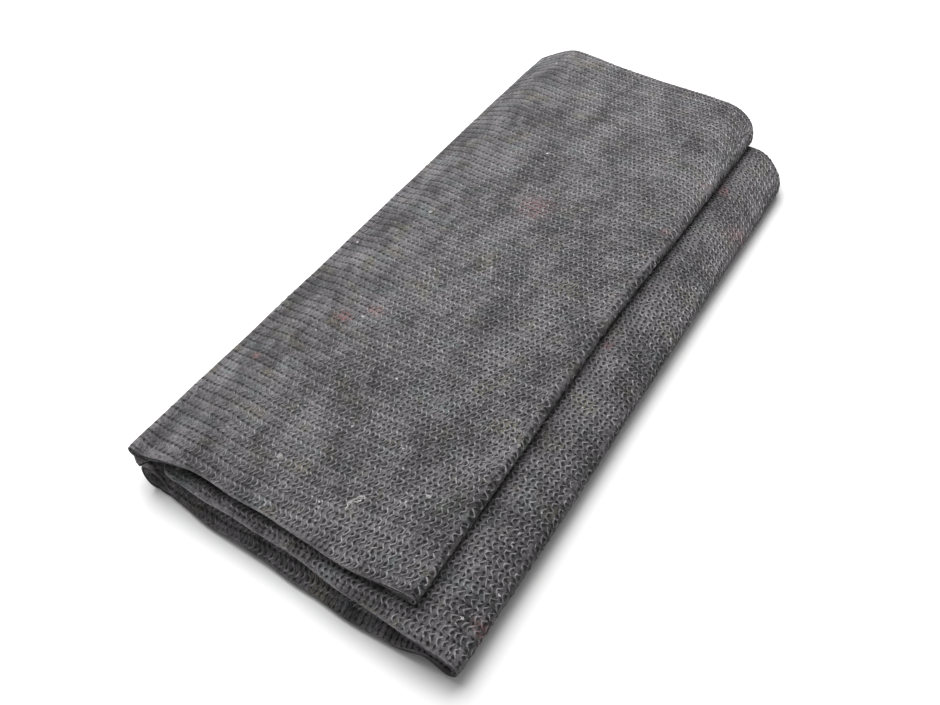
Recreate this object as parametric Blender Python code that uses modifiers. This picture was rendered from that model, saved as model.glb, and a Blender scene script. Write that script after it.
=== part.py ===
"""A moving blanket, folded flat.

The blanket is one plain cut piece of stitch-bonded felt. It is halved across its width first, so that every
panel is two plies, with a soft fold at the far end and two cut edges at the near end. The doubled strip is then
folded back and forth into seven panels that lie on each other, a little apart.

X runs across the folded blanket, Y along it from the cut near end to the folded far end, and Z is up. The
origin is on the floor, under the middle of the blanket's bounding box.
"""

import math
from collections import namedtuple

import bmesh
import bpy
import numpy as np

# Cloth, in metres
CUT_WIDTH = 1.372
CUT_LENGTH = 1.829
PLY_THICKNESS = 0.0023
PLY_GAP = 0.0005
PLY_OFFSET = (PLY_THICKNESS + PLY_GAP) / 2
DOUBLED_THICKNESS = 2 * PLY_THICKNESS + PLY_GAP
PLY_STAGGER = 0.0015

# Stack of panels
PANEL_PITCH = 0.0062
HALF_LENGTH = CUT_WIDTH / 4
LENGTH_CENTRE = 0.0006
WIDTH_CENTRE = 0.0255

# A panel's row: its place counted up from the floor, how far its near cut edge and its far fold stand out past
# the half length at five even places from the panel's start to its end, and the shares of its width at which
# the mesh has a line. The rows are in the order in which the strip runs, from its end under the top panel.
Panel = namedtuple("Panel", "name level near far steps")
FINE = (0.0, 0.035, 0.09, 0.17, 0.33, 0.5, 0.67, 0.83, 0.91, 0.965, 1.0)
PLAIN = (0.0, 0.12, 0.5, 0.88, 1.0)
PANELS = (
    Panel("tuck", 5, (-0.015, -0.014, -0.013, -0.010, -0.006), (-0.003, -0.003, -0.002, -0.001, 0.003), PLAIN),
    Panel("top", 6, (-0.006, -0.004, -0.009, -0.010, -0.005), (0.003, 0.000, 0.002, 0.009, 0.0125), FINE),
    Panel("wide", 4, (-0.005, 0.000, 0.003, 0.011, 0.015), (0.0125, 0.001, -0.018, -0.043, -0.050), FINE),
    Panel("wide_under", 3, (0.015, 0.007, -0.002, -0.005, -0.002), (-0.05, -0.034, -0.012, -0.001, -0.001), FINE),
    Panel("bottom", 0, (-0.002, 0.003, 0.006, 0.010, 0.014), (-0.001, -0.001, -0.003, -0.011, -0.021), FINE),
    Panel("turned_in", 1, (0.014, 0.004, -0.003, -0.007, -0.009), (-0.021, -0.011, -0.007, -0.005, -0.005), PLAIN),
    Panel("inmost", 2, (-0.009, -0.008, -0.007, -0.006, -0.005), (-0.005, -0.005, -0.005, -0.005, -0.005), PLAIN),
)

# A fold's row: the X of its outer edge at five even places from the near end to the far end, how far its corner
# at the far end is drawn in, and how far along the strip the corner reaches.
Fold = namedtuple("Fold", "name side edge corner reach")
FOLDS = (
    Fold("upper_right", 1, (0.1305, 0.1305, 0.1295, 0.1355, 0.1395), 0.050, 0.046),
    Fold("upper_left", -1, (-0.1345, -0.1325, -0.1320, -0.1315, -0.1310), 0.038, 0.032),
    Fold("lower_right", 1, (0.1760, 0.1790, 0.1802, 0.1830, 0.1855), 0.030, 0.034),
    Fold("lower_left", -1, (-0.1220, -0.1225, -0.1215, -0.1220, -0.1230), 0.025, 0.030),
    Fold("bottom_right", 1, (0.1490, 0.1450, 0.1410, 0.1400, 0.1420), 0.020, 0.030),
    Fold("inner_left", -1, (-0.0880, -0.0920, -0.0950, -0.0940, -0.0940), 0.016, 0.030),
)
TUCK_START_X = -0.088
CORNER_TURN = 0.97

# The top panel sinks past the tucked end to meet the wide panel at the left fold.
WEDGE_START_X = -0.083
WEDGE_WIDTH = 0.030
WEDGE_SINK = 0.0038
WEDGE_LIFT = 0.0022

# The wide panel overhangs the stack on the right and hangs down to the floor there.
OVERHANG_START_X = 0.140
OVERHANG_WIDTH = 0.044
OVERHANG_SINK = 0.0115
OVERHANG_FULLNESS = 0.0078

# A swell's row: a place where the stack is fuller or flatter, its reach each way and its height at the top.
Swell = namedtuple("Swell", "x y reach_x reach_y height")
SWELLS = (
    Swell(-0.075, 0.330, 0.030, 0.050, 0.0030),
    Swell(0.135, 0.345, 0.045, 0.060, -0.0045),
    Swell(-0.135, 0.350, 0.035, 0.050, -0.0035),
    Swell(0.060, -0.120, 0.110, 0.160, 0.0012),
    Swell(-0.020, 0.120, 0.080, 0.120, -0.0012),
    Swell(0.105, -0.345, 0.050, 0.060, -0.0018),
)

# Mesh
FOLD_STEPS = 7
LENGTH_STEPS = 12
LENGTH_CROWDING = 0.6
FAR_FOLD_STEPS = 4

CLOTH_COLOUR = (0.115, 0.112, 0.116, 1.0)
CLOTH_ROUGHNESS = 0.95


def clear_scene():
    for obj in list(bpy.data.objects):
        bpy.data.objects.remove(obj)


def eased(share):
    """0 to 1 with a level start and end."""
    share = np.clip(share, 0.0, 1.0)
    return share * share * (3.0 - 2.0 * share)


def panel_height(panel, x):
    """Height of a panel's middle, between its two plies, where no swell is."""
    height = np.full_like(x, DOUBLED_THICKNESS / 2 + PANEL_PITCH * panel.level)
    wedge = eased((WEDGE_START_X - x) / WEDGE_WIDTH)
    if panel.name == "top":
        height = height - WEDGE_SINK * wedge
    if panel.name == "wide":
        height = height + WEDGE_LIFT * wedge
    overhang = (x - OVERHANG_START_X) / OVERHANG_WIDTH
    if panel.name in ("wide", "wide_under"):
        height = height - OVERHANG_SINK * eased(overhang)
    if panel.name == "wide_under":
        height = height - OVERHANG_FULLNESS * eased(2 * overhang)
    return height


def through(values, share):
    """A smooth line through evenly spaced values, at a share of the way from the first to the last."""
    values = np.array(values)
    spans = len(values) - 1
    first = np.clip(np.floor(share * spans), 0, spans - 1).astype(int)
    part = share * spans - first
    before, start, end, after = (values[np.clip(first + step, 0, spans)] for step in (-1, 0, 1, 2))
    slope_in = (end - before) / 2
    slope_out = (after - start) / 2
    eased_part = part * part * (3 - 2 * part)
    rise = part * (1 - part) * ((1 - part) * slope_in - part * slope_out)
    return start + (end - start) * eased_part + rise


def fold_arc(fold, before, after, share):
    """X and Z round a fold, from the panel before it to the panel after it."""
    edge = through(fold.edge, share) - fold.side * DOUBLED_THICKNESS / 2
    join = edge - fold.side * np.abs(panel_height(before, edge) - panel_height(after, edge)) / 2
    start = panel_height(before, join)
    end = panel_height(after, join)
    radius = np.abs(start - end) / 2
    turn = np.linspace(0.0, math.pi, FOLD_STEPS + 1)[:, None]
    x = edge + fold.side * radius * (np.sin(turn) - 1.0)
    z = (start + end) / 2 + (start - end) / 2 * np.cos(turn)
    return x, z


def path_length(x, z):
    """Distance of each row from the first, along the strip."""
    steps = np.hypot(np.diff(x, axis=0), np.diff(z, axis=0))
    return np.concatenate([np.zeros_like(x[:1]), steps.cumsum(axis=0)])


def strip_section(share):
    """X and Z along the doubled strip, a row for each place along it and a column for each share of the length.

    The third array gives each row's place in PANELS, such as 1.5 for the middle of the second panel. All of a
    fold's rows have the place where one panel ends and the next starts.
    """
    rows_x, rows_z, places = [], [], []
    start_x = np.full_like(share, TUCK_START_X)
    for index, panel in enumerate(PANELS):
        last = index == len(FOLDS)
        if last:
            used = path_length(np.concatenate(rows_x), np.concatenate(rows_z))[-1]
            end_x = start_x + CUT_LENGTH - used
        else:
            arc_x, arc_z = fold_arc(FOLDS[index], panel, PANELS[index + 1], share)
            end_x = arc_x[0]
        keep = slice(min(index, 1), len(panel.steps) if last else -1)
        steps = np.array(panel.steps)[keep, None]
        x = start_x + (end_x - start_x) * steps
        rows_x.append(x)
        rows_z.append(panel_height(panel, x))
        places.append(index + steps[:, 0])
        if not last:
            rows_x.append(arc_x)
            rows_z.append(arc_z)
            places.append(np.full(FOLD_STEPS + 1, index + 1.0))
            start_x = arc_x[-1]
    return np.concatenate(rows_x), np.concatenate(rows_z), np.concatenate(places)


def end_line(places, ends):
    """How far one end stands out at each place along the strip, from each panel's own five values."""
    line = np.zeros_like(places)
    for index, values in enumerate(ends):
        share = np.clip(places - index, 0.0, 1.0)
        line = np.where(places >= index, through(values, share), line)
    return line


def corner_draw(x, places):
    """How far the far end is drawn in at each place along the strip, most of it round each fold.

    Seen from above, the far end by a fold turns like an ellipse, for CORNER_TURN of the ellipse's half width.
    """
    draw = np.zeros_like(x)
    deepest = 1.0 - math.sqrt(1.0 - CORNER_TURN**2)
    for index, fold in enumerate(FOLDS):
        out = fold.side * x
        inside = out[places == index + 1.0].max() - out
        turn = CORNER_TURN * np.clip(1.0 - inside / fold.reach, 0.0, 1.0)
        near_fold = np.abs(places - index - 1.0) < 0.9
        draw = np.maximum(draw, near_fold * fold.corner * (1.0 - np.sqrt(1.0 - turn**2)) / deepest)
    return draw


def swell_height(x, y, z):
    """Lift of a point by the swells, none at the floor and all of it at the top."""
    top = PANEL_PITCH * PANELS[1].level + DOUBLED_THICKNESS
    lift = np.zeros_like(x)
    for swell in SWELLS:
        away = ((x - swell.x) / swell.reach_x) ** 2 + ((y - swell.y) / swell.reach_y) ** 2
        lift = lift + swell.height * np.exp(-away)
    return lift * np.clip((z - DOUBLED_THICKNESS) / (top - DOUBLED_THICKNESS), 0.0, 1.0)


def length_run():
    """Share of the length, Y past the far edge and offset from the strip's middle, from cut edge to cut edge."""
    even = np.linspace(0.0, 1.0, LENGTH_STEPS + 1)
    shares = (1.0 - LENGTH_CROWDING) * even + LENGTH_CROWDING * (0.5 - 0.5 * np.cos(math.pi * even))
    turn = np.linspace(0.0, math.pi, FAR_FOLD_STEPS + 1)[1:-1]
    none = np.zeros_like(shares)
    share = np.concatenate([shares, np.ones_like(turn), shares[::-1]])
    past = np.concatenate([none, PLY_OFFSET * np.sin(turn), none])
    offset = np.concatenate([none + PLY_OFFSET, PLY_OFFSET * np.cos(turn), none - PLY_OFFSET])
    return share, past, offset


def folded_cloth():
    """The middle of the cloth once folded, a row for each place along the strip and a column across it."""
    share, past, offset = length_run()
    x, z, places = strip_section(share)
    along = path_length(x, z)[:, LENGTH_STEPS]
    draw = corner_draw(x[:, LENGTH_STEPS], places)
    near = -HALF_LENGTH - end_line(places, [panel.near for panel in PANELS])
    far = HALF_LENGTH + end_line(places, [panel.far for panel in PANELS]) - draw
    stagger = np.where(offset > 0, PLY_STAGGER, 0.0) * (1.0 - share)
    bulge = np.hypot(1.0, np.gradient(far, along))[:, None] * past
    y = near[:, None] + (far - near)[:, None] * share + stagger + bulge
    along_x = np.gradient(x, axis=0)
    along_z = np.gradient(z, axis=0)
    size = np.hypot(along_x, along_z)
    folded_x = x - offset * along_z / size
    folded_z = z + offset * along_x / size
    folded_z = folded_z + swell_height(x, y, z)
    return np.stack([folded_x - WIDTH_CENTRE, y + LENGTH_CENTRE, folded_z], axis=-1)


def cloth_material():
    material = bpy.data.materials.new("grey_felt")
    material.use_nodes = True
    shader = material.node_tree.nodes["Principled BSDF"]
    shader.inputs["Base Color"].default_value = CLOTH_COLOUR
    shader.inputs["Roughness"].default_value = CLOTH_ROUGHNESS
    shader.inputs["Metallic"].default_value = 0.0
    return material


def make_blanket(collection):
    """A flat grid of cloth, folded point by point and given the felt's thickness."""
    points = folded_cloth()
    rows, columns = points.shape[:2]
    grid = bmesh.new()
    bmesh.ops.create_grid(grid, x_segments=rows - 1, y_segments=columns - 1, size=1.0)
    for vert in grid.verts:
        row = round((vert.co.x + 1.0) / 2.0 * (rows - 1))
        column = round((vert.co.y + 1.0) / 2.0 * (columns - 1))
        vert.co = points[row, column]
    mesh = bpy.data.meshes.new("blanket")
    grid.to_mesh(mesh)
    grid.free()
    mesh.materials.append(cloth_material())
    mesh.shade_smooth()
    blanket = bpy.data.objects.new("blanket", mesh)
    collection.objects.link(blanket)
    felt = blanket.modifiers.new("felt", "SOLIDIFY")
    felt.thickness = PLY_THICKNESS
    felt.offset = 0.0
    felt.use_even_offset = True
    return blanket


def main():
    clear_scene()
    collection = bpy.data.collections.new("moving_blanket")
    bpy.context.scene.collection.children.link(collection)
    make_blanket(collection)


main()
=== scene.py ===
"""Looks of a folded moving blanket: its stitch-bonded felt, its loose lint and the studio it lies in.

The cloth is one cut sheet. It is halved across its width, and the doubled strip is folded back and forth
into seven panels. The sheet is built flat as a grid, folded point by point along the same folds as the solid
that it stands for, and given the felt's thickness. Its UV maps hold places on the flat cloth, in metres, so
that the stitches follow the cloth round every fold.
"""

import math
import random
from collections import namedtuple

import bpy
import numpy as np
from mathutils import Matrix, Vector, noise


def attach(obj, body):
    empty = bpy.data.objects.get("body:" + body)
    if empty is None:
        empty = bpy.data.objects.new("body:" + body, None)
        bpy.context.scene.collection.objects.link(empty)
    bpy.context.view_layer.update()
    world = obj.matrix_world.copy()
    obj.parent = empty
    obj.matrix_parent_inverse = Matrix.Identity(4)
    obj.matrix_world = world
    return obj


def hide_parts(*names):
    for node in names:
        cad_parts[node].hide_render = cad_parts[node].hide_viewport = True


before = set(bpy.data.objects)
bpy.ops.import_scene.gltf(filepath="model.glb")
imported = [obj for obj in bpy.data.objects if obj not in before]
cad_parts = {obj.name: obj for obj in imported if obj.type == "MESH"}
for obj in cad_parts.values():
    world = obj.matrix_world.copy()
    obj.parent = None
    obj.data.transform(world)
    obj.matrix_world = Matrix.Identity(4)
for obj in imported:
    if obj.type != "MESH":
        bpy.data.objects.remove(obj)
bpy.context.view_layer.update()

bl_info = {
    "name": "Folded Moving Blanket",
    "version": (1, 0, 0),
    "blender": (4, 5, 0),
    "location": "3D View > Sidebar > Blanket",
    "description": "Builds a folded moving blanket of stitch-bonded felt on its packed frame",
    "category": "Object",
}

NODE = "blanket"
BODY = "root"
SHEET_NAME = "blanket_cloth"
LINT_NAME = "blanket_lint"
YARN_NAME = "blanket_yarn"

# The folds are laid out with X across them and Y along them. The frame's origin lies at this X, and the
# stack is moved along Y by this much to meet it.
WIDTH_CENTRE = 0.0255
LENGTH_CENTRE = 0.0006

# X of the cut end that is tucked in under the top
TUCK_START_X = -0.088

# A panel's row: its name, its place counted up from the floor, its number of rows of faces, how far the lower
# ply's cut edge lies behind the upper one's in its middle, and how far its near end hangs down. Then how far
# its near cut edges and its far fold stand out past the half length, at five even places from start to end.
Panel = namedtuple("Panel", "name level rows lag droop near far")
PANELS = (
    Panel(
        "tuck", level=5, rows=14, lag=0.0, droop=0.0,
        near=(-0.015, -0.014, -0.013, -0.010, -0.006),
        far=(-0.003, -0.003, -0.002, -0.001, 0.003),
    ),
    Panel(
        "top", level=6, rows=56, lag=0.004, droop=0.003,
        near=(-0.006, -0.004, -0.009, -0.010, -0.005),
        far=(0.003, 0.000, 0.001, 0.005, 0.013),
    ),
    Panel(
        "wide", level=4, rows=48, lag=0.004, droop=0.002,
        near=(-0.005, 0.000, 0.003, 0.011, 0.015),
        far=(0.013, 0.001, -0.018, -0.043, -0.050),
    ),
    Panel(
        "wide_under", level=3, rows=40, lag=0.003, droop=0.0172,
        near=(0.015, 0.0155, 0.010, 0.006, -0.0015),
        far=(-0.050, -0.034, -0.012, -0.001, -0.001),
    ),
    Panel(
        "bottom", level=0, rows=24, lag=0.0, droop=0.0,
        near=(-0.0015, -0.0025, -0.001, 0.003, 0.007),
        far=(-0.001, -0.001, -0.003, -0.011, -0.021),
    ),
    Panel(
        "turned_in", level=1, rows=14, lag=0.0, droop=0.0,
        near=(0.007, -0.004, -0.011, -0.014, -0.015),
        far=(-0.021, -0.011, -0.007, -0.005, -0.005),
    ),
    Panel(
        "inmost", level=2, rows=12, lag=0.0, droop=0.0,
        near=(-0.015, -0.016, -0.016, -0.015, -0.015),
        far=(-0.005, -0.005, -0.005, -0.005, -0.005),
    ),
)

# The near ends hang down over this reach. The drop grows and ends this steeply along each panel, and it is
# uneven by this share.
DROOP_REACH = 0.024
DROOP_GROWTH = 6.0
DROOP_END = 28.0
DROOP_UNEVENNESS = 0.35

# The cut edges wave in and out by up to this, in waves this close together.
EDGE_WANDER = 0.0024
EDGE_WAVES_PER_METRE = 26.0

# A notch's row: the panel and the X of a place beside a fold where the near cut edges change, its reach each
# way, how far the edges are drawn back there and how far they sag. Less than 0, they stand out or are lifted.
Notch = namedtuple("Notch", "panel x reach depth sag")
NOTCHES = (
    Notch("wide", -0.1085, 0.0075, 0.0100, 0.0),
    Notch("wide", -0.1235, 0.0060, -0.0040, 0.0035),
    Notch("wide_under", -0.1040, 0.0060, 0.0030, 0.0),
    Notch("wide_under", -0.1190, 0.0070, -0.0005, -0.0065),
)
NOTCH_GROWTH = 60.0

# A fold's row: its name, the side it bulges to, the X of its outer edge at five even places from the near end
# to the far end, how far its corner at the far end is drawn in, how far along the strip the corner reaches,
# and its number of rows of faces.
Fold = namedtuple("Fold", "name side edge corner reach rows")
FOLDS = (
    Fold("upper_right", 1, (0.1305, 0.1305, 0.1295, 0.1355, 0.1395), 0.050, 0.046, 12),
    Fold("upper_left", -1, (-0.1360, -0.1340, -0.1335, -0.1325, -0.1315), 0.031, 0.032, 12),
    Fold("lower_right", 1, (0.1760, 0.1790, 0.1802, 0.1830, 0.1855), 0.030, 0.034, 14),
    Fold("lower_left", -1, (-0.1220, -0.1225, -0.1215, -0.1220, -0.1230), 0.025, 0.030, 14),
    Fold("bottom_right", 1, (0.1490, 0.1450, 0.1410, 0.1400, 0.1420), 0.020, 0.030, 8),
    Fold("inner_left", -1, (-0.0880, -0.0920, -0.0950, -0.0940, -0.0940), 0.016, 0.030, 8),
)

# A corner's outline is a round arc up to this sine of its angle, and it spreads this far into both panels, as
# a share of their width.
CORNER_TURN = 0.97
CORNER_SPREAD = 0.9

# The top panel sinks past the tucked end to meet the wide panel at the left fold.
WEDGE_START_X = -0.094
WEDGE_WIDTH = 0.032
WEDGE_SINK = 0.0060

# The wide panel overhangs the stack on the right and sinks towards the floor over this width. The panel under
# it sinks by a further amount, its fullness, in half the width.
OVERHANG_START_X = 0.146
OVERHANG_WIDTH = 0.038
OVERHANG_SINK = 0.0115
OVERHANG_FULLNESS = 0.0078

# A swell's row: a place where the stack is fuller or flatter, its reach each way and its height at the top.
Swell = namedtuple("Swell", "x y reach_x reach_y height")
SWELLS = (
    Swell(-0.075, 0.330, 0.030, 0.050, 0.0030),
    Swell(0.135, 0.345, 0.045, 0.060, -0.0045),
    Swell(-0.135, 0.350, 0.035, 0.050, -0.0035),
    Swell(0.060, -0.120, 0.110, 0.160, 0.0012),
    Swell(-0.020, 0.120, 0.080, 0.120, -0.0012),
    Swell(0.105, -0.345, 0.050, 0.060, -0.0018),
)

# Dents and rises of the felt: how many to a metre, how strong the small ones are beside the large ones, and
# the height above the floor below which they fade out
DENTS_PER_METRE = 22.0
SMALL_DENTS_PER_METRE = 55.0
SMALL_DENT_SHARE = 0.5
DENT_FADE_HEIGHT = 0.012

# How much closer together the faces are at both ends of the length and of each panel
LENGTH_CROWDING = 0.5
PANEL_CROWDING = 0.4

# The needle rows bow by this much in the middle of each panel. From this share of the length on they are
# eased so that they join up round the far fold.
ROW_BOW = 0.0055
ROW_MEND_START = 0.6

# The felt is pressed thinner at its cut edges: its thickness there as a share, how far in it is thinner, and
# how wide its corners are rounded, as a share of the full thickness. Their material is the cloth's second.
EDGE_THICKNESS = 0.50
EDGE_REACH = 0.006
CUT_ROUNDING = 0.17
CUT_EDGE_SLOT = 1

# A lint row: the place of a tuft of loose white fibres on the cloth, its reach and its number of fibres.
Lint = namedtuple("Lint", "x y reach fibres")
LINT = (
    Lint(0.068, -0.262, 0.0017, 30),
    Lint(-0.048, -0.289, 0.0022, 18),
    Lint(-0.059, -0.283, 0.0012, 7),
    Lint(0.135, -0.326, 0.0012, 18),
    Lint(-0.107, 0.017, 0.0015, 13),
    Lint(0.102, -0.187, 0.0011, 9),
    Lint(0.090, -0.166, 0.0011, 9),
    Lint(0.005, -0.311, 0.0012, 8),
    Lint(0.038, -0.251, 0.0012, 9),
    Lint(0.028, -0.235, 0.0012, 9),
    Lint(-0.018, -0.237, 0.0011, 8),
    Lint(0.067, -0.168, 0.0010, 7),
    Lint(0.056, -0.275, 0.0009, 6),
    Lint(0.123, -0.119, 0.0010, 7),
    Lint(0.069, -0.110, 0.0010, 6),
    Lint(-0.018, -0.157, 0.0010, 6),
    Lint(-0.106, -0.167, 0.0009, 5),
    Lint(-0.011, 0.144, 0.0010, 6),
)

# A tuft's fibre, in shares of the tuft's reach: how far its middle strays, the radius of its curl at the end
# and how high it rises. Then the angle that it curls through, and its first radius as a share of its last.
FIBRE_STRAY = 0.35
FIBRE_CURL = (0.3, 1.0)
FIBRE_RISE = (0.1, 0.6)
FIBRE_TURN = (1.5, 4.0)
FIBRE_CURL_START = 0.4

# The long white curl on the top: points of its two strands from its near end, the shares of the way from each
# to the next where a fibre has its own points, the fibres in each strand, and how far they stray
STRANDS = (
    (
        (0.0220, -0.3025), (0.0215, -0.2950), (0.0235, -0.2905),
        (0.0250, -0.2870), (0.0280, -0.2870), (0.0305, -0.2870),
    ),
    ((0.0215, -0.2965), (0.0245, -0.2935), (0.0270, -0.2920), (0.0275, -0.2880)),
)
STRAND_POINTS = (0.0, 0.33, 0.66)
FIBRES_PER_STRAND = 4
STRAND_SPREAD = 0.0006

# All lint: a fibre's radius, its steps along a tuft's fibre, and a height above all of the cloth, from which
# the lint is dropped on it
FIBRE_RADIUS = 0.00013
FIBRE_STEPS = 6
LINT_SEED = 11
ABOVE_CLOTH = 0.2

# A stitch's point: how far it lies from one needle hole to the next, how far off the line of the holes in
# spacings of the lines, and how far its middle stands above the felt in radii of the yarn.
StitchPoint = namedtuple("StitchPoint", "row line height")
STITCH = (
    StitchPoint(0.00, -0.27, -0.6),
    StitchPoint(0.14, -0.24, 0.05),
    StitchPoint(0.37, 0.30, 0.25),
    StitchPoint(0.62, 0.34, 0.25),
    StitchPoint(0.86, -0.22, 0.05),
)
STITCH_MIDDLE = len(STITCH) // 2

# The yarn's tube: its sides, its height as a share of its width, and how much its radius changes as a share
YARN_SIDES = 3
YARN_FLATNESS = 0.5
YARN_UNEVENNESS = 0.28

# How far each stitch's points stray from their places, in spacings
STITCH_SEED = 5
LINE_JITTER = 0.075
ROW_JITTER = 0.055

# Left of here the stitches sink into the felt, over this width and by this share of the yarn's radius.
FLAT_SIDE_X = -0.060
FLAT_SIDE_WIDTH = 0.075
FLAT_SIDE_YARN = 0.45

# How far the machine's lines and rows of stitches stray, in spacings, and how often
LINE_WANDER = 0.42
ROW_WANDER = 0.16
WANDER_PER_METRE = 34.0

# Rows of needle holes are this far apart, in spacings of the stitch lines.
STITCH_PROPORTION = 1.9

# The search for a stitch's place in the cloth's grid: its steps, and how far off it may end, in spacings
SEARCH_STEPS = 12
SEARCH_MISS = 0.1

# A stitch is laid where it may be seen from: levels above the horizon, with the number of directions at each.
# It is looked at from this reach, its middle lifted off the felt, and not from flatter than this slant.
SIGHT_LEVELS = ((90.0, 1), (45.0, 8), (3.0, 8))
SIGHT_REACH = 0.08
SIGHT_LIFT = 0.0015
SIGHT_SLANT = 0.2

# A red patch's row: its place, how far it reaches and how red it is at its middle.
RedPatch = namedtuple("RedPatch", "x y reach strength")
RED_PATCHES = (
    RedPatch(-0.026, 0.077, 0.026, 0.45),
    RedPatch(-0.095, -0.141, 0.012, 0.60),
    RedPatch(-0.077, -0.123, 0.010, 0.55),
    RedPatch(-0.133, -0.214, 0.008, 0.45),
    RedPatch(0.110, -0.045, 0.008, 0.70),
    RedPatch(0.152, 0.162, 0.018, 0.45),
    RedPatch(0.118, 0.209, 0.012, 0.60),
    RedPatch(0.104, 0.191, 0.010, 0.40),
    RedPatch(0.098, 0.105, 0.008, 0.40),
    RedPatch(0.150, -0.324, 0.012, 0.50),
)

# The felt's fibres and clouds are drawn out along the lines of stitches: scales across them and along them.
FIBRE_DRAW = (1.3, 0.72, 1.0)

# The felt's faint tints, each with the place in the noise that it starts from
COOL_TINT = (0.84, 1.0, 0.97)
WARM_TINT = (1.0, 0.975, 0.78)
TINTS = (((11.0, 2.0, 0.0), COOL_TINT), ((5.0, 13.0, 0.0), WARM_TINT))

# The needle marks are in neat rows left of the first X, and loose and uneven right of the second.
NEAT_X = -0.13
LOOSE_X = 0.04

# Where the needle holes and the dimples lie in each cell of the stitches, as line and row
HOLE_PLACE = (0.08, 0.0)
DIMPLE_PLACE = (-0.06, 0.54)

# The stitches' marks fade out over this width beside the plain edge.
PLAIN_BAND_FADE = 0.0015

# The cut edges are pale above the first height and dark below the second, a painted shade towards the floor.
UNSHADED_EDGE_HEIGHT = 0.026
FULL_EDGE_SHADE_HEIGHT = 0.012

# The studio: its floor, which lies a little below the blanket, the sizes and places of its two square lights,
# and the width of the camera's sensor in millimetres
FLOOR_SIZE = 12.0
FLOOR_HEIGHT = -0.0004
KEY_SIZE = 2.0
KEY_PLACE = (-0.75, 0.5, 1.4)
FILL_SIZE = 1.0
FILL_PLACE = (1.1, -0.6, 1.0)
SENSOR_WIDTH = 36.0


# Settings


def length_setting(name, description, default):
    """A length that the user can change."""
    return bpy.props.FloatProperty(name=name, description=description, default=default, unit="LENGTH")


def colour_setting(name, description, default):
    """A colour that the user can change."""
    return bpy.props.FloatVectorProperty(
        name=name, description=description, default=default, subtype="COLOR", size=3
    )


class BlanketCloth(bpy.types.PropertyGroup):
    """Size and make of the cloth."""

    cut_width: length_setting("Cut Width", "Width of the cut cloth, which is halved", 1.372)
    cut_length: length_setting("Cut Length", "Length of the cut cloth, folded back and forth", 1.829)
    ply_thickness: length_setting("Felt Thickness", "Thickness of the felt", 0.0023)
    ply_gap: length_setting("Ply Gap", "Gap between the two plies of a panel", 0.0005)
    panel_pitch: length_setting("Panel Pitch", "Height from one panel to the next", 0.0062)
    unevenness: length_setting("Unevenness", "Height of the felt's soft dents and rises", 0.0007)
    length_faces: bpy.props.IntProperty(
        name="Faces Along", description="Faces along each ply, from cut edge to fold", default=64, min=12
    )
    far_fold_faces: bpy.props.IntProperty(
        name="Far Fold Faces", description="Faces round the fold at the far end", default=6, min=2
    )


class FeltFinish(bpy.types.PropertyGroup):
    """Colours and stitches of the felt."""

    dark_felt: colour_setting("Dark Felt", "Darker fibres of the recycled felt", (0.025, 0.0235, 0.025))
    pale_felt: colour_setting("Pale Felt", "Paler fibres of the recycled felt", (0.116, 0.1095, 0.1155))
    yarn: colour_setting("Stitch Yarn", "Yarn where the felt is pale", (0.204, 0.195, 0.2045))
    dark_yarn: colour_setting("Dark Stitch Yarn", "Yarn where the felt is dark", (0.058, 0.0555, 0.058))
    # The cut edges' pale colour is partly loosened fibres and partly a painted highlight along the rims.
    pale_cut_felt_and_highlight: colour_setting("Cut Felt", "Loosened pale fibres along the cut edges", (0.190, 0.183, 0.190))
    fleck: colour_setting("Red Fibres", "Patches of red fibres in the felt", (0.185, 0.060, 0.066))
    lint: colour_setting("Lint", "Loose white lint", (0.52, 0.51, 0.50))
    # This colour is painted shade at the bottoms of the needle holes, grooves and dimples.
    shaded_hole: colour_setting("Needle Holes", "Bottoms of the needle holes", (0.006, 0.006, 0.006))
    stitch_across: length_setting("Stitch Spacing", "From one line of stitches to the next", 0.0048)
    stitch_along: length_setting("Stitch Length", "From one row of needle holes to the next", 0.0091)
    selvage: length_setting("Plain Edge", "Width of the plain edge past the last stitches", 0.001)
    yarn_radius: length_setting("Yarn Radius", "Radius of the stitch yarn", 0.00105)


class Studio(bpy.types.PropertyGroup):
    """Camera, floor and lights."""

    camera_place: bpy.props.FloatVectorProperty(
        name="Camera Place",
        description="Where the camera stands",
        default=(0.3111, -0.6112, 0.6465),
        subtype="TRANSLATION",
        size=3,
    )
    camera_turn: bpy.props.FloatVectorProperty(
        name="Camera Turn",
        description="Turn of the camera from looking straight down",
        default=(math.radians(43.3), 0.0, math.radians(30.8)),
        subtype="EULER",
        size=3,
    )
    lens: bpy.props.FloatProperty(
        name="Lens", description="Focal length on a 36 mm sensor, in millimetres", default=38.3
    )
    floor_colour: colour_setting("Floor", "Pale studio floor", (0.64, 0.64, 0.64))
    key_power: bpy.props.FloatProperty(
        name="Key Light", description="Power of the large light overhead", default=90.0, unit="POWER"
    )
    fill_power: bpy.props.FloatProperty(
        name="Fill Light", description="Power of the light by the camera", default=0.3, unit="POWER"
    )
    sky: bpy.props.FloatProperty(
        name="Sky", description="Strength of the even light all round", default=0.44
    )


# Cloth


def eased(share):
    """0 to 1 with a level start and end."""
    share = np.clip(share, 0.0, 1.0)
    return share * share * (3.0 - 2.0 * share)


def eased_slope(share):
    """Slope of eased."""
    return 6.0 * share * (1.0 - share)


def crowded(faces, crowding):
    """Shares from 0 to 1, closer together at both ends."""
    even = np.linspace(0.0, 1.0, faces + 1)
    return (1.0 - crowding) * even + crowding * (0.5 - 0.5 * np.cos(math.pi * even))


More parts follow.
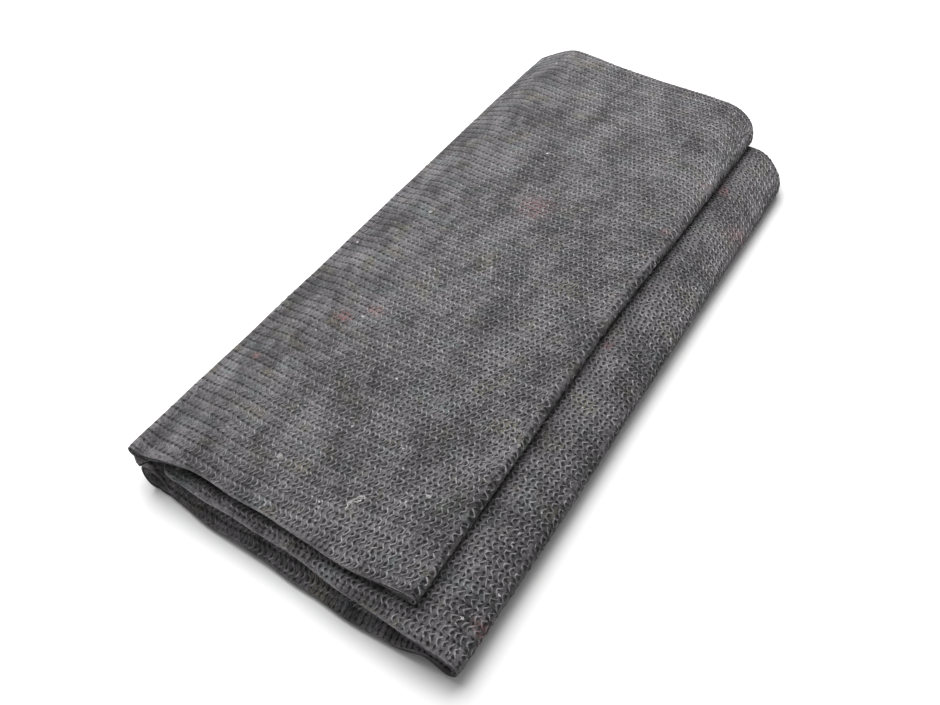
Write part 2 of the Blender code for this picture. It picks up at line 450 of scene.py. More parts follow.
def through(values, share):
    """A smooth line through evenly spaced values, at a share of the way from the first to the last."""
    values = np.array(values)
    spans = len(values) - 1
    first = np.clip(np.floor(share * spans), 0, spans - 1).astype(int)
    part = share * spans - first
    before, start, end, after = (values[np.clip(first + step, 0, spans)] for step in (-1, 0, 1, 2))
    slope_in = (end - before) / 2
    slope_out = (after - start) / 2
    eased_part = part * part * (3 - 2 * part)
    rise = part * (1 - part) * ((1 - part) * slope_in - part * slope_out)
    return start + (end - start) * eased_part + rise


def path_length(x, z):
    """Distance of each row from the first, along the strip."""
    steps = np.hypot(np.diff(x, axis=0), np.diff(z, axis=0))
    return np.concatenate([np.zeros_like(x[:1]), steps.cumsum(axis=0)])


class FoldedStrip:
    """The doubled cloth as it is folded: where each place on the flat cloth comes to lie."""

    def __init__(self, cloth):
        self.cut_length = cloth.cut_length
        self.half_width = cloth.cut_width / 2
        self.half_length = cloth.cut_width / 4
        self.pitch = cloth.panel_pitch
        self.ply_offset = (cloth.ply_thickness + cloth.ply_gap) / 2
        self.doubled = 2 * cloth.ply_thickness + cloth.ply_gap
        self.length_faces = cloth.length_faces
        self.far_fold_faces = cloth.far_fold_faces

    def panel_height(self, panel, x):
        """Height of a panel's middle, between its two plies, where no swell is."""
        height = np.full_like(x, self.doubled / 2 + self.pitch * panel.level)
        if panel.name == "top":
            height = height - WEDGE_SINK * eased((WEDGE_START_X - x) / WEDGE_WIDTH)
        overhang = (x - OVERHANG_START_X) / OVERHANG_WIDTH
        if panel.name in ("wide", "wide_under"):
            height = height - OVERHANG_SINK * eased(overhang)
        if panel.name == "wide_under":
            height = height - OVERHANG_FULLNESS * eased(2 * overhang)
        return height

    def fold_arc(self, fold, before, after, share):
        """X and Z round a fold, from the panel before it to the panel after it."""
        edge = through(fold.edge, share) - fold.side * self.doubled / 2
        rise = np.abs(self.panel_height(before, edge) - self.panel_height(after, edge))
        join = edge - fold.side * rise / 2
        start = self.panel_height(before, join)
        end = self.panel_height(after, join)
        radius = np.abs(start - end) / 2
        turn = np.linspace(0.0, math.pi, fold.rows + 1)[:, None]
        x = edge + fold.side * radius * (np.sin(turn) - 1.0)
        z = (start + end) / 2 + (start - end) / 2 * np.cos(turn)
        return x, z

    def section(self, share):
        """X, Z and place in PANELS of each row along the strip, a column for each share of the length."""
        rows_x, rows_z, places = [], [], []
        start_x = np.full_like(share, TUCK_START_X)
        for index, panel in enumerate(PANELS):
            last = index == len(FOLDS)
            if last:
                used = path_length(np.concatenate(rows_x), np.concatenate(rows_z))[-1]
                end_x = start_x + self.cut_length - used
            else:
                arc_x, arc_z = self.fold_arc(FOLDS[index], panel, PANELS[index + 1], share)
                end_x = arc_x[0]
            # A panel's first and last rows are the folds' own, except at the two ends of the strip.
            steps = crowded(panel.rows, PANEL_CROWDING)
            steps = steps[min(index, 1) : len(steps) if last else -1, None]
            x = start_x + (end_x - start_x) * steps
            rows_x.append(x)
            rows_z.append(self.panel_height(panel, x))
            places.append(index + steps[:, 0])
            if not last:
                rows_x.append(arc_x)
                rows_z.append(arc_z)
                places.append(np.full(len(arc_x), index + 1.0))
                start_x = arc_x[-1]
        return np.concatenate(rows_x), np.concatenate(rows_z), np.concatenate(places)

    def end_line(self, places, ends):
        """How far one end stands out at each place along the strip, from each panel's own five values."""
        line = np.zeros_like(places)
        for index, values in enumerate(ends):
            share = np.clip(places - index, 0.0, 1.0)
            line = np.where(places >= index, through(values, share), line)
        return line

    def corner_draw(self, x, places):
        """How far the far end is drawn in at each place along the strip, most of it round each fold."""
        draw = np.zeros_like(x)
        deepest = 1.0 - math.sqrt(1.0 - CORNER_TURN**2)
        for index, fold in enumerate(FOLDS):
            out = fold.side * x
            inside = out[places == index + 1.0].max() - out
            turn = CORNER_TURN * np.clip(1.0 - inside / fold.reach, 0.0, 1.0)
            near_fold = np.abs(places - index - 1.0) < CORNER_SPREAD
            draw = np.maximum(draw, near_fold * fold.corner * (1.0 - np.sqrt(1.0 - turn**2)) / deepest)
        return draw

    def swell_height(self, x, y, z):
        """Lift of a point by the swells, none at the floor and all of it at the top."""
        top = self.pitch * PANELS[1].level + self.doubled
        lift = np.zeros_like(x)
        for swell in SWELLS:
            away = ((x - swell.x) / swell.reach_x) ** 2 + ((y - swell.y) / swell.reach_y) ** 2
            lift = lift + swell.height * np.exp(-away)
        return lift * np.clip((z - self.doubled) / (top - self.doubled), 0.0, 1.0)

    def length_run(self):
        """Each column's share of the length, Y past the far edge, ply offset and share of the far fold."""
        shares = crowded(self.length_faces, LENGTH_CROWDING)
        fold = np.linspace(0.0, 1.0, self.far_fold_faces + 1)[1:-1]
        none = np.zeros_like(shares)
        offset = self.ply_offset
        share = np.concatenate([shares, np.ones_like(fold), shares[::-1]])
        past = np.concatenate([none, offset * np.sin(math.pi * fold), none])
        offset = np.concatenate([none + offset, offset * np.cos(math.pi * fold), none - offset])
        return share, past, offset, np.concatenate([none, fold, none + 1.0])

    def ply_lag(self, places, offset):
        """How far behind the near line each lower ply's cut edge lies, most in the middle of its panel."""
        # The strip turns over at each fold, so its lower ply changes sides.
        lag = np.zeros_like(places)
        for index, panel in enumerate(PANELS):
            hump = np.sin(math.pi * np.clip(places - index, 0.0, 1.0)) ** 2
            lag = lag + panel.lag * hump * (1 if index % 2 else -1)
        return np.maximum(lag[:, None] * np.sign(offset), 0.0)

    def notch_share(self, notch, x, places):
        """How much of a notch there is at each place along the strip."""
        from_start = places - [panel.name for panel in PANELS].index(notch.panel)
        inside = eased(NOTCH_GROWTH * from_start) * (from_start <= 1.0)
        return inside * np.exp(-(((x - notch.x) / notch.reach) ** 2))

    def edge_wave(self, x, places):
        """Slight waves along the cut edges, 0 at the folds."""
        waves = []
        for at, place in zip(EDGE_WAVES_PER_METRE * x, places):
            waves.append(noise.noise(Vector((at, math.floor(place), 0.5))))
        return np.array(waves) * np.sin(math.pi * (places - np.floor(places)))

    def near_line(self, x, places, wave):
        """Y of the near cut edge at each place along the strip."""
        line = self.end_line(places, [panel.near for panel in PANELS])
        for notch in NOTCHES:
            line = line - notch.depth * self.notch_share(notch, x, places)
        return -self.half_length - line - EDGE_WANDER * wave

    def droop(self, near, x, places, wave, y, z):
        """How far each panel's near end hangs down, and its slope there."""
        depth = np.zeros_like(places)
        for index, panel in enumerate(PANELS):
            hump = eased(DROOP_GROWTH * (places - index)) * eased(DROOP_END * (index + 1.0 - places))
            depth = depth + panel.droop * hump * (1.0 + DROOP_UNEVENNESS * wave)
        above = z - self.doubled / 2
        depth = np.minimum(depth[:, None], above)
        for notch in NOTCHES:
            sag = notch.sag * self.notch_share(notch, x, places)
            depth = depth + sag[:, None] * np.clip(above / (2 * self.pitch), 0.0, 1.0)
        part = np.clip((near[:, None] + DROOP_REACH - y) / DROOP_REACH, 0.0, 1.0)
        return depth * eased(part), depth * eased_slope(part) / DROOP_REACH

    def row_places(self, places, y, far, share, fold):
        """Place across the flat cloth, straight along the needle rows and joined up round the far fold."""
        bow = ROW_BOW * (1.0 - (2.0 * (places - np.floor(places)) - 1.0) ** 2)
        row = y + self.half_length + bow[:, None]
        round_fold = math.pi * self.ply_offset
        short = self.half_width - round_fold / 2 - (far + self.half_length + bow)
        row = row + short[:, None] * eased((share - ROW_MEND_START) / (1.0 - ROW_MEND_START))
        turn = self.half_width + (fold - 0.5) * round_fold
        return np.where(fold == 0.0, row, np.where(fold == 1.0, 2 * self.half_width - row, turn))

    def points(self):
        """Folded points, a row for each place along the strip, and their places in the cloth's maps."""
        share, past, offset, fold = self.length_run()
        x, z, places = self.section(share)
        middle = self.length_faces
        along = path_length(x, z)
        wave = self.edge_wave(x[:, 0], places)
        near = self.near_line(x[:, 0], places, wave)
        far = self.half_length + self.end_line(places, [panel.far for panel in PANELS])
        far = far - self.corner_draw(x[:, middle], places)
        lag = self.ply_lag(places, offset) * (1.0 - share)
        bulge = np.hypot(1.0, np.gradient(far, along[:, middle]))[:, None] * past
        y = near[:, None] + (far - near)[:, None] * share + lag + bulge
        drop, slope = self.droop(near, x[:, 0], places, wave, y, z)
        along_x = np.gradient(x, axis=0)
        along_z = np.gradient(z, axis=0)
        size = np.hypot(along_x, along_z)
        upright = offset * along_x / size
        tilt = np.hypot(1.0, slope)
        folded_x = x - offset * along_z / size
        folded_y = y - upright * slope / tilt
        folded_z = z - drop + upright / tilt
        folded_z = folded_z + self.swell_height(folded_x, folded_y, folded_z)
        folded = np.stack([folded_x - WIDTH_CENTRE, folded_y + LENGTH_CENTRE, folded_z], axis=-1)
        row = self.row_places(places, y, far, share, fold)
        from_cut = y - near[:, None] - lag
        maps = {"flat_cloth": row, "cut_edge": from_cut}
        return folded, {name: np.stack([along, value], axis=-1) for name, value in maps.items()}


def soften(points, height):
    """Small dents and rises of the felt, none on the face that lies on the floor."""
    for point in points.reshape(-1, 3):
        place = Vector(point)
        small = noise.noise(place * SMALL_DENTS_PER_METRE)
        dent = noise.noise(place * DENTS_PER_METRE) + SMALL_DENT_SHARE * small
        point[2] += height * dent * min(point[2] / DENT_FADE_HEIGHT, 1.0)
    return points


def fold_sheet(name, points, maps):
    """A flat grid of cloth with every vertex put at its folded place, and its place in the cloth's maps."""
    rows, columns = points.shape[:2]
    bpy.ops.object.select_all(action="DESELECT")
    bpy.ops.mesh.primitive_grid_add(
        x_subdivisions=rows - 1, y_subdivisions=columns - 1, size=1.0, calc_uvs=False
    )
    sheet = bpy.context.object
    sheet.name = name
    cloth = sheet.data
    cloth.name = name
    cloth.vertices.foreach_set("co", points.swapaxes(0, 1).ravel())
    map_places(cloth, {title: places.swapaxes(0, 1).reshape(-1, 2) for title, places in maps.items()})
    cloth.shade_smooth()
    cloth.update()
    return sheet


def map_places(mesh, maps):
    """UV maps from each vertex's place in them."""
    corners = np.empty(len(mesh.loops), dtype=np.int32)
    mesh.loops.foreach_get("vertex_index", corners)
    for title, places in maps.items():
        layer = mesh.uv_layers.new(name=title, do_init=False)
        layer.uv.foreach_set("vector", places[corners].ravel())


def outward_normals(sheet, shape):
    """The cloth's normals on its outer side, in the order of its points."""
    normals = np.empty(len(sheet.data.vertices) * 3, dtype=np.float32)
    sheet.data.vertex_normals.foreach_get("vector", normals)
    return normals.reshape(shape[1], shape[0], 3).swapaxes(0, 1).astype(float)


def select_only(piece):
    """Select one piece and make it the active one."""
    bpy.ops.object.select_all(action="DESELECT")
    piece.select_set(True)
    bpy.context.view_layer.objects.active = piece


def add_piece(name, data):
    """A new object in the scene for a mesh or a curve."""
    piece = bpy.data.objects.new(name, data)
    bpy.context.collection.objects.link(piece)
    return piece


def felt_share(from_cut):
    """The felt's thickness at a distance from the cut edge, as a share of its full thickness."""
    return EDGE_THICKNESS + (1.0 - EDGE_THICKNESS) * eased(from_cut / EDGE_REACH)


def thicken(sheet, thickness, from_cut):
    """Give the sheet its felt: thinner towards the cut edge, with the edge's own material."""
    group = sheet.vertex_groups.new(name="felt_thickness")
    for index, share in enumerate(felt_share(from_cut).swapaxes(0, 1).ravel().tolist()):
        group.add([index], share, "REPLACE")
    felt = sheet.modifiers.new("felt", "SOLIDIFY")
    felt.thickness = thickness
    felt.offset = 0.0
    felt.use_even_offset = True
    felt.vertex_group = group.name
    felt.material_offset_rim = CUT_EDGE_SLOT
    select_only(sheet)
    bpy.ops.object.modifier_apply(modifier=felt.name)
    sheet.vertex_groups.clear()


def round_cut_edges(sheet, width):
    """Round the corners of the felt's cut edges."""
    cut, felt = set(), set()
    for face in sheet.data.polygons:
        (cut if face.material_index == CUT_EDGE_SLOT else felt).update(face.edge_keys)
    corners = cut & felt
    bpy.context.tool_settings.mesh_select_mode = (False, True, False)
    for piece in (sheet.data.polygons, sheet.data.edges, sheet.data.vertices):
        piece.foreach_set("select", [False] * len(piece))
    for edge in sheet.data.edges:
        edge.select = edge.key in corners
    bpy.ops.object.mode_set(mode="EDIT")
    bpy.ops.mesh.bevel(offset=width, segments=2, profile=0.5, affect="EDGES", material=CUT_EDGE_SLOT)
    bpy.ops.object.mode_set(mode="OBJECT")


# Stitches


def stitch_places(flat, finish):
    """Line and row of stitches at each place on the flat cloth, with the machine's slight wander."""
    wander = [noise.noise(Vector((*place, 0.0)) * WANDER_PER_METRE) for place in flat.reshape(-1, 2)]
    wander = np.array(wander).reshape(flat.shape[:2])
    line = LINE_WANDER * wander - flat[..., 0] / finish.stitch_across
    row = ROW_WANDER * wander + flat[..., 1] / finish.stitch_along
    return np.stack([line, row], axis=-1)


def between(field, row, column):
    """Values of a grid at places between its points."""
    first_row = np.clip(row.astype(int), 0, field.shape[0] - 2)
    first_column = np.clip(column.astype(int), 0, field.shape[1] - 2)
    next_row, next_column = first_row + 1, first_column + 1
    part_row = np.clip(row - first_row, 0.0, 1.0)[..., None]
    part_column = np.clip(column - first_column, 0.0, 1.0)[..., None]
    left = field[first_row, first_column] * (1 - part_row) + field[next_row, first_column] * part_row
    right = field[first_row, next_column] * (1 - part_row) + field[next_row, next_column] * part_row
    return left * (1 - part_column) + right * part_column


def grid_places(stitches, line, row):
    """Places in the cloth's grid of places among its stitches, and whether each is on the cloth."""
    rows, columns = stitches.shape[:2]
    line_slope = np.gradient(stitches[..., 0], axis=0)
    row_slope = np.gradient(stitches[..., 1], axis=1)
    slopes = np.stack([line_slope, row_slope], axis=-1)
    # The search starts from one column's lines and one row's rows, a quarter of the way across the cloth.
    grid_row = np.interp(-line, -stitches[:, columns // 4, 0], np.arange(rows))
    grid_column = np.interp(row, stitches[rows // 4, :, 1], np.arange(columns))
    for _ in range(SEARCH_STEPS):
        here = between(stitches, grid_row, grid_column)
        slope = between(slopes, grid_row, grid_column)
        grid_row = np.clip(grid_row + (line - here[..., 0]) / slope[..., 0], 0.0, rows - 1.0)
        grid_column = np.clip(grid_column + (row - here[..., 1]) / slope[..., 1], 0.0, columns - 1.0)
    here = between(stitches, grid_row, grid_column)
    found = np.abs(here[..., 0] - line) + np.abs(here[..., 1] - row) < SEARCH_MISS
    return grid_row, grid_column, found


def in_sight(sheet, places, normals):
    """Whether each place on the cloth can be seen from anywhere around or above it."""
    ways = []
    for level, count in SIGHT_LEVELS:
        for turn in range(count):
            angle = math.tau * turn / count
            flat = math.cos(math.radians(level))
            way = (flat * math.cos(angle), flat * math.sin(angle), math.sin(math.radians(level)))
            ways.append(Vector(way))
    seen = np.zeros(places.shape[:-1], dtype=bool)
    for index in np.ndindex(seen.shape):
        place = Vector(places[index])
        normal = Vector(normals[index])
        for way in ways:
            if normal.dot(way) > SIGHT_SLANT and not sheet.ray_cast(place, way, distance=SIGHT_REACH)[0]:
                seen[index] = True
                break
    return seen


def stitch_points(stitches, chance):
    """Line and row of each point of each stitch, an entry for each line, each row and each point."""
    first_line, first_row = np.ceil(stitches.min(axis=(0, 1))).astype(int)
    last_line, last_row = np.floor(stitches.max(axis=(0, 1))).astype(int)
    shape = (last_line - first_line, last_row - first_row, len(STITCH))
    lines = np.arange(first_line, last_line)[:, None, None] + np.array([point.line for point in STITCH])
    rows = np.arange(first_row, last_row)[None, :, None] + np.array([point.row for point in STITCH])
    lines = lines + chance.normal(0.0, LINE_JITTER, shape)
    rows = rows + chance.normal(0.0, ROW_JITTER, shape)
    return lines, rows


def yarn_radii(felt, radius, chance):
    """The yarn's uneven radius at each point, less where it sinks into the felt."""
    uneven = radius * (1.0 + YARN_UNEVENNESS * chance.uniform(-1.0, 1.0, felt.shape[:-1]))
    sunk = np.clip((FLAT_SIDE_X - felt[..., 0]) / FLAT_SIDE_WIDTH, 0.0, 1.0)
    return uneven * (1.0 - FLAT_SIDE_YARN * sunk)


def yarn_rings(felt, up, used, radii):
    """Corners of the yarn's ring at each used point, none of them under the floor."""
    height = radii * np.array([point.height for point in STITCH])
    middle = felt + up * height[..., None]
    run = np.gradient(middle.reshape(len(middle), -1, 3), axis=1).reshape(middle.shape)
    side = np.cross(run, up)
    side = side / np.linalg.norm(side, axis=-1, keepdims=True)
    turns = (math.tau * np.arange(YARN_SIDES) / YARN_SIDES)[:, None, None]
    outline = YARN_FLATNESS * np.cos(turns) * up[used] + np.sin(turns) * side[used]
    corners = (middle[used] + radii[used][:, None] * outline).swapaxes(0, 1).reshape(-1, 3)
    corners[:, 2] = np.maximum(corners[:, 2], 0.0)
    return corners


def yarn_faces(shown, used):
    """The yarn's walls from each ring to the next, and a cap at each end of a run of stitches."""
    ring = YARN_SIDES * (np.cumsum(used).reshape(used.shape) - 1)
    # A stitch's rings, and the first ring of the stitch after it
    chain = np.concatenate([ring[:, :-1], ring[:, 1:, :1]], axis=2)[shown[:, :-1]]
    start, end = chain[:, :-1].ravel(), chain[:, 1:].ravel()
    faces = []
    for corner in range(YARN_SIDES):
        beside = (corner + 1) % YARN_SIDES
        walls = (start + corner, end + corner, end + beside, start + beside)
        faces += np.stack(walls, axis=1).tolist()
    before = np.pad(shown, ((0, 0), (1, 0)))[:, :-1]
    corners = list(range(YARN_SIDES))
    faces += [[first + corner for corner in corners] for first in ring[..., 0][shown & ~before].tolist()]
    faces += [[last + corner for corner in corners[::-1]] for last in ring[..., 0][before & ~shown].tolist()]
    return faces


def lay_stitches(sheet, points, normals, maps, finish, thickness):
    """The stitch yarn of the cloth's outer side wherever it can be seen: a zigzag tube along each line."""
    chance = np.random.default_rng(STITCH_SEED)
    lines, rows = stitch_points(maps["stitches"], chance)
    grid_row, grid_column, found = grid_places(maps["stitches"], lines, rows)
    up = between(normals, grid_row, grid_column)
    up = up / np.linalg.norm(up, axis=-1, keepdims=True)
    from_cut = between(maps["cut_edge"], grid_row, grid_column)[..., 1]
    felt = between(points, grid_row, grid_column) + up * (felt_share(from_cut) * thickness / 2)[..., None]
    stitched = (found & (from_cut > finish.selvage)).all(axis=2)
    stitched[:, -1] = False
    middle_up = up[stitched][:, STITCH_MIDDLE]
    shown = np.zeros_like(stitched)
    shown[stitched] = in_sight(sheet, felt[stitched][:, STITCH_MIDDLE] + middle_up * SIGHT_LIFT, middle_up)
    used = np.zeros(found.shape, dtype=bool)
    used[shown] = True
    used[:, 1:, 0] |= shown[:, :-1]
    radii = yarn_radii(felt, finish.yarn_radius, chance)
    mesh = bpy.data.meshes.new(YARN_NAME)
    mesh.from_pydata(yarn_rings(felt, up, used, radii), [], yarn_faces(shown, used))
    flat = between(maps["flat_cloth"], grid_row[used], grid_column[used])
    map_places(mesh, {"flat_cloth": np.repeat(flat, YARN_SIDES, axis=0)})
    mesh.shade_smooth()
    return add_piece(YARN_NAME, mesh)


# Lint


def tuft_fibre(chance, lint):
    """One curled fibre of a tuft: places on the cloth and heights above it."""
    turn = chance.uniform(0.0, math.tau)
    curl = chance.uniform(*FIBRE_TURN) * chance.choice((-1, 1))
    centre_x = lint.x + chance.gauss(0.0, lint.reach * FIBRE_STRAY)
    centre_y = lint.y + chance.gauss(0.0, lint.reach * FIBRE_STRAY)
    radius = lint.reach * chance.uniform(*FIBRE_CURL)
    lift = lint.reach * chance.uniform(*FIBRE_RISE)
    fibre = []
    for step in range(FIBRE_STEPS + 1):
        part = step / FIBRE_STEPS
        angle = turn + curl * part
        away = radius * (FIBRE_CURL_START + (1.0 - FIBRE_CURL_START) * part)
        height = FIBRE_RADIUS + lift * math.sin(math.pi * part)
        fibre.append((centre_x + away * math.cos(angle), centre_y + away * math.sin(angle), height))
    return fibre


def strand_fibre(chance, strand):
    """One fibre of a long curled strand."""
    fibre = []
    for (x, y), (next_x, next_y) in zip(strand, strand[1:]):
        for part in STRAND_POINTS:
            place_x = x + (next_x - x) * part + chance.gauss(0.0, STRAND_SPREAD)
            place_y = y + (next_y - y) * part + chance.gauss(0.0, STRAND_SPREAD)
            fibre.append((place_x, place_y, FIBRE_RADIUS + chance.uniform(0.0, STRAND_SPREAD)))
    return fibre


def on_cloth(sheet, x, y, height):
    """The point at a height above the cloth's upper face."""
    found, point, _, _ = sheet.ray_cast(Vector((x, y, ABOVE_CLOTH)), Vector((0.0, 0.0, -1.0)))
    if not found:
        raise RuntimeError(f"no cloth under the lint at {x:.3f}, {y:.3f}")
    return point + Vector((0.0, 0.0, height))


def lay_fibres(name, fibres):
    """Thin fibres through lists of points, as one mesh."""
    curve = bpy.data.curves.new(name, "CURVE")
    curve.dimensions = "3D"
    curve.bevel_depth = FIBRE_RADIUS
    curve.bevel_resolution = 0
    curve.use_fill_caps = True
    for points in fibres:
        spline = curve.splines.new("POLY")
        spline.points.add(len(points) - 1)
        for place, point in zip(spline.points, points):
            place.co = (*point, 1.0)
    lint = add_piece(name, curve)
    select_only(lint)
    bpy.ops.object.convert(target="MESH")
    return lint


# Materials


class Nodes:
    """A new material, with short names for its nodes."""

    def __init__(self, name):
        self.material = bpy.data.materials.new(name)
        self.material.use_nodes = True
        self.tree = self.material.node_tree
        self.shader = self.tree.nodes["Principled BSDF"]

    def fill(self, socket, value):
        """Link a socket to a node's output, or set its value."""
        if isinstance(value, bpy.types.NodeSocket):
            self.tree.links.new(value, socket)
        elif socket.type == "RGBA":
            socket.default_value = (*value, 1.0)
        else:
            socket.default_value = value

    def add(self, kind, inputs=(), **settings):
        """The outputs of a new node, with its inputs filled by their names or numbers."""
        node = self.tree.nodes.new("ShaderNode" + kind)
        for name, value in settings.items():
            setattr(node, name, value)
        for name, value in dict(inputs).items():
            self.fill(node.inputs[name], value)
        return node.outputs

    def shaded(self, looks):
        """Fill the shader's inputs and hand over the material."""
        for name, value in looks.items():
            self.fill(self.shader.inputs[name], value)
        return self.material

    def math(self, operation, *values):
        return self.add("Math", enumerate(values), operation=operation)[0]

    def times(self, first, second):
        return self.math("MULTIPLY", first, second)

    def times_plus(self, first, second, third):
        return self.math("MULTIPLY_ADD", first, second, third)

    def mapped(self, value, numbers, kind):
        names = ("From Min", "From Max", "To Min", "To Max")
        inputs = {"Value": value, **dict(zip(names, numbers))}
        return self.add("MapRange", inputs, interpolation_type=kind)["Result"]

    def step(self, value, low, high):
        """0 at low and 1 at high, with a smooth rise between; low may be the larger."""
        numbers = (low, high, 0.0, 1.0) if low < high else (high, low, 1.0, 0.0)
        return self.mapped(value, numbers, "SMOOTHSTEP")

    def straight(self, value, low, high):
        """0 at low and 1 at high, with a straight rise between; low may be the larger."""
        return self.mapped(value, (low, high, 0.0, 1.0), "LINEAR")

    def noise(self, place, scale, offset=None, detail=2.0, roughness=0.5):
        """Noise from 0 to 1 at a place, which the offset moves before it is scaled."""
        if offset:
            place = self.add("VectorMath", {0: place, 1: offset}, operation="ADD")[0]
        inputs = {"Vector": place, "Scale": scale, "Detail": detail, "Roughness": roughness}
        return self.add("TexNoise", inputs)["Fac"]

    def random(self, x, y):
        """A number from 0 to 1 for each pair of whole numbers."""
        place = self.add("CombineXYZ", {"X": x, "Y": y})[0]
        return self.add("TexWhiteNoise", {"Vector": place}, noise_dimensions="2D")["Value"]

    def uv(self, name):
        return self.add("UVMap", uv_map=name)["UV"]

    def object_place(self):
        return self.add("TexCoord")["Object"]

    def scaled(self, vector, factors):
        return self.add("VectorMath", {0: vector, 1: factors}, operation="MULTIPLY")[0]

    def split(self, vector):
        return self.add("SeparateXYZ", {0: vector})

    def grey(self, value):
        return self.add("CombineColor", {0: value, 1: value, 2: value})["Color"]

    def mix(self, factor, first, second, blend="MIX"):
        inputs = {"Factor": factor, "A": first, "B": second}
        return self.add("Mix", inputs, data_type="RGBA", blend_type=blend)["Result"]

    def bump(self, height, distance, strength):
        return self.add("Bump", {"Height": height, "Distance": distance, "Strength": strength})["Normal"]


def felt_colour(nodes, flat, finish):
    """Mottled recycled fibres and how pale they are: clouds, patches and fine fibres, with faint tints."""
    drawn = nodes.scaled(flat, FIBRE_DRAW)
    clouds = nodes.noise(drawn, scale=21.0, detail=6.0, roughness=0.67)
    patches = nodes.noise(drawn, scale=95.0, offset=(3.1, 1.7, 0.0), detail=4.0, roughness=0.65)
    fibres = nodes.noise(drawn, scale=600.0, offset=(7.9, 4.3, 0.0), roughness=0.7)
    shade = nodes.times(clouds, 0.54)
    shade = nodes.times_plus(patches, 0.26, shade)
    shade = nodes.times_plus(fibres, 0.20, shade)
    shade = nodes.step(shade, 0.395, 0.605)
    colour = nodes.mix(shade, finish.dark_felt, finish.pale_felt)
    for offset, tint in TINTS:
        place = nodes.step(nodes.noise(flat, scale=36.0, offset=offset), 0.54, 0.70)
        colour = nodes.mix(place, colour, nodes.mix(1.0, colour, tint, "MULTIPLY"))
    return colour, shade


def red_patches(nodes, flat, colour, finish):
    """Red fibres in the felt, at the places where they show."""
    place = nodes.object_place()
    uneven = nodes.noise(place, scale=120.0, offset=(0.3, 0.1, 0.0), detail=3.0, roughness=0.7)
    uneven = nodes.times_plus(uneven, 1.6, -0.8)
    x, y, _ = nodes.split(place)
    most = 0.0
    for patch in RED_PATCHES:
        off_x = nodes.math("SUBTRACT", x, patch.x)
        off_y = nodes.math("SUBTRACT", y, patch.y)
        away = nodes.math("SQRT", nodes.times_plus(off_y, off_y, nodes.times(off_x, off_x)))
        share = nodes.math("ADD", nodes.math("DIVIDE", away, patch.reach), uneven)
        most = nodes.math("MAXIMUM", most, nodes.times(nodes.step(share, 1.0, 0.1), patch.strength))
    fibre = nodes.noise(flat, scale=420.0, offset=(2.0, 21.0, 0.0))
    red = nodes.times(most, nodes.step(fibre, 0.38, 0.62))
    return nodes.mix(red, colour, finish.fleck)


def white_specks(nodes, flat, colour, finish):
    """Small knots of white fibres in the felt, one at a place in some of the cells of an uneven net."""
    net = nodes.add("TexVoronoi", {"Vector": flat, "Scale": 62.0})
    lot, size, _ = nodes.split(net["Color"])
    uneven = nodes.noise(flat, scale=500.0, offset=(4.0, 9.0, 0.0))
    away = nodes.times_plus(uneven, 0.09, net["Distance"])
    radius = nodes.times_plus(nodes.math("POWER", size, 3.0), 0.05, 0.075)
    knot = nodes.step(nodes.math("SUBTRACT", away, radius), 0.03, 0.0)
    knot = nodes.times(knot, nodes.step(lot, 0.52, 0.95))
    return nodes.mix(nodes.times(knot, 0.7), colour, finish.lint)


def fluff_patches(nodes, flat):
    """Where loose fibres lie over the stitches and hide them."""
    cloud = nodes.noise(flat, scale=60.0, offset=(23.0, 6.0, 0.0), detail=4.0, roughness=0.7)
    return nodes.step(cloud, 0.50, 0.68)


def grained(nodes, flat, colour):
    """The colour with the fine light and dark grain of single fibres."""
    grain = nodes.noise(flat, scale=420.0, offset=(9.0, 3.0, 0.0), detail=3.0, roughness=0.75)
    grain = nodes.times_plus(nodes.step(grain, 0.30, 0.70), 0.9, 0.55)
    return nodes.mix(1.0, colour, nodes.grey(grain), "MULTIPLY")


def round_mark(nodes, line, row, place, inner, outer):
    """1 within the inner radius of a place in each cell, 0 past the outer one; radii in stitch spacings."""
    off_line = nodes.math("PINGPONG", nodes.math("SUBTRACT", line, place[0]), 0.5)
    off_row = nodes.math("PINGPONG", nodes.math("SUBTRACT", row, place[1]), 0.5)
    off_row = nodes.times(off_row, STITCH_PROPORTION)
    away = nodes.times_plus(off_row, off_row, nodes.times(off_line, off_line))
    return nodes.step(nodes.math("SQRT", away), outer, inner)


def needle_marks(nodes, flat):
    """Needle holes, dimples, and grooves, across the lines on the left and along them on the right; their
    darkness is painted shade in these recesses.
    """
    x, _, _ = nodes.split(nodes.object_place())
    loose = nodes.straight(x, NEAT_X, LOOSE_X)
    stray = nodes.noise(flat, scale=260.0, offset=(1.3, 8.1, 0.0), detail=1.0)
    stray = nodes.math("SUBTRACT", stray, 0.5)
    line, row, _ = nodes.split(nodes.uv("stitches"))
    line = nodes.times_plus(stray, nodes.times_plus(loose, 0.4, 0.3), line)
    row = nodes.times_plus(stray, nodes.times_plus(loose, 0.3, 0.1), row)
    lot = nodes.random(nodes.math("FLOOR", line), nodes.math("ROUND", row))
    shaded_hole = round_mark(nodes, line, row, HOLE_PLACE, inner=0.14, outer=0.33)
    shaded_hole = nodes.times(shaded_hole, nodes.times_plus(lot, -0.4, 1.1))
    shaded_dimple = round_mark(nodes, line, row, DIMPLE_PLACE, inner=0.12, outer=0.40)
    shaded_dimple = nodes.times(shaded_dimple, nodes.times_plus(loose, 0.75, 0.25))
    shaded_groove = nodes.step(nodes.math("PINGPONG", row, 0.5), 0.24, 0.0)
    shaded_groove = nodes.times(shaded_groove, nodes.times_plus(loose, -0.8, 1.2))
    shaded_furrow = nodes.step(nodes.math("PINGPONG", line, 0.5), 0.26, 0.04)
    shaded_furrow = nodes.times(shaded_furrow, nodes.times(loose, 1.5))
    return shaded_hole, shaded_dimple, nodes.math("MAXIMUM", shaded_groove, shaded_furrow)


